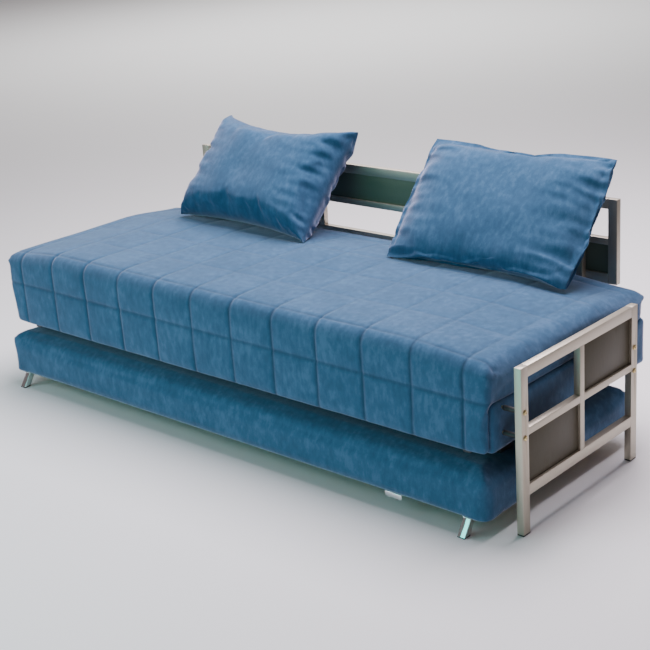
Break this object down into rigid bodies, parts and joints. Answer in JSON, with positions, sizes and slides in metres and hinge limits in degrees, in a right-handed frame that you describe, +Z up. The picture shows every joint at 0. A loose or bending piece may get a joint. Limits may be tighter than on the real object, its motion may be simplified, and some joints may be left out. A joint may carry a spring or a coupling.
{
  "type": "futon sofa bed",
  "caption": "Daybed sofa with a quilted blue mattress, loose pillows, steel end and back frames, and a second bed that rolls out below.",
  "frame": {"origin": "on the floor under the middle of the whole object's bounding box", "axes": "+X along the bed towards the end frame, +Y from the seat's front to the back frame, +Z up"},
  "size_m": [2.067, 0.9002, 0.7907],
  "materials": {
    "upholstery": "mottled blue microsuede with a soft short nap, quilted on the seat",
    "pillow_cover": "mottled blue microsuede with a soft short nap, wrinkled",
    "birch_board": "sanded birch plywood",
    "birch_slat": "bent birch slat, clear lacquer",
    "champagne_paint": "satin champagne-silver powder coat on steel tube",
    "infill_panel": "brown-grey board with a slight gloss",
    "bolt_plating": "yellow zinc plating",
    "zinc_steel": "zinc-plated steel",
    "black_plastic": "black moulded plastic",
    "bright_chrome": "polished chrome plating",
    "wheel_rubber": "dark grey soft castor tread",
    "roller_nylon": "white nylon"
  },
  "bodies": {
    "daybed": {"seat_mattress": "upholstery", "mattress_front_fall": "upholstery", "carcass_front_board": "birch_board", "carcass_rear_board": "birch_board", "carcass_left_board": "birch_board", "carcass_right_board": "birch_board", "carcass_end_pads": "upholstery", "carcass_rear_pad": "upholstery", "slat_ledges": "birch_board", "seat_slats": "birch_slat", "guide_rails": "zinc_steel", "glide_pads": "black_plastic", "end_front_post": "champagne_paint", "end_rear_post": "champagne_paint", "end_top_rail": "champagne_paint", "end_middle_rail": "champagne_paint", "end_bottom_rail": "champagne_paint", "end_mullion": "champagne_paint", "end_panel_upper": "infill_panel", "end_panel_lower": "infill_panel", "end_bolts": "bolt_plating", "end_spacers": "black_plastic", "end_foot_caps": "black_plastic", "back_left_post": "champagne_paint", "back_right_post": "champagne_paint", "back_top_rail": "champagne_paint", "back_middle_rail": "champagne_paint", "back_bottom_rail": "champagne_paint", "back_mullions": "champagne_paint", "back_upright_left": "champagne_paint", "back_upright_right": "champagne_paint", "back_panel_left": "infill_panel", "back_panel_centre": "infill_panel", "back_panel_right": "infill_panel", "back_bolts": "bolt_plating", "back_spacers": "black_plastic", "back_foot_caps": "black_plastic", "frame_nuts": "zinc_steel"},
    "lower_bed": {"base_front_board": "birch_board", "base_rear_board": "birch_board", "base_end_boards": "birch_board", "base_ledges": "birch_board", "base_slats": "birch_slat", "lower_mattress": "upholstery", "lower_front_pad": "upholstery", "lower_end_pads": "upholstery", "front_legs": "bright_chrome", "leg_glides": "black_plastic", "pull_handle": "bright_chrome", "castor_forks": "zinc_steel", "castor_axles": "zinc_steel", "roller_brackets": "zinc_steel", "roller_axles": "zinc_steel"},
    "castor_wheel_left": {"castor_wheel_left": "wheel_rubber"},
    "castor_wheel_right": {"castor_wheel_right": "wheel_rubber"},
    "roller_left": {"roller_left": "roller_nylon"},
    "roller_right": {"roller_right": "roller_nylon"},
    "pillow_left": {"pillow_left": "pillow_cover"},
    "pillow_right": {"pillow_right": "pillow_cover"}
  },
  "joints": [
    {"name": "lower_bed_roll_out", "type": "slide", "parent": "daybed", "child": "lower_bed", "axis": [0, -1, 0], "range_m": [0, 0.64]},
    {"name": "castor_left_spin", "type": "hinge", "parent": "lower_bed", "child": "castor_wheel_left", "pos_m": [-0.8835, 0.253, 0.021], "axis": [1, 0, 0], "continuous": true},
    {"name": "castor_right_spin", "type": "hinge", "parent": "lower_bed", "child": "castor_wheel_right", "pos_m": [0.8165, 0.253, 0.021], "axis": [1, 0, 0], "continuous": true},
    {"name": "roller_left_spin", "type": "hinge", "parent": "lower_bed", "child": "roller_left", "pos_m": [-0.9335, 0.292, 0.2027], "axis": [1, 0, 0], "continuous": true},
    {"name": "roller_right_spin", "type": "hinge", "parent": "lower_bed", "child": "roller_right", "pos_m": [0.8665, 0.292, 0.2027], "axis": [1, 0, 0], "continuous": true},
    {"name": "pillow_left_lift", "type": "slide", "parent": "daybed", "child": "pillow_left", "axis": [0, 0, 1], "range_m": [0, 0.25]},
    {"name": "pillow_right_lift", "type": "slide", "parent": "daybed", "child": "pillow_right", "axis": [0, 0, 1], "range_m": [0, 0.25]}
  ],
  "couplings": [
    {"joint": "castor_left_spin", "follows": "lower_bed_roll_out", "rad_per_m": 47.619},
    {"joint": "castor_right_spin", "follows": "lower_bed_roll_out", "rad_per_m": 47.619},
    {"joint": "roller_left_spin", "follows": "lower_bed_roll_out", "rad_per_m": -62.5},
    {"joint": "roller_right_spin", "follows": "lower_bed_roll_out", "rad_per_m": -62.5}
  ]
}
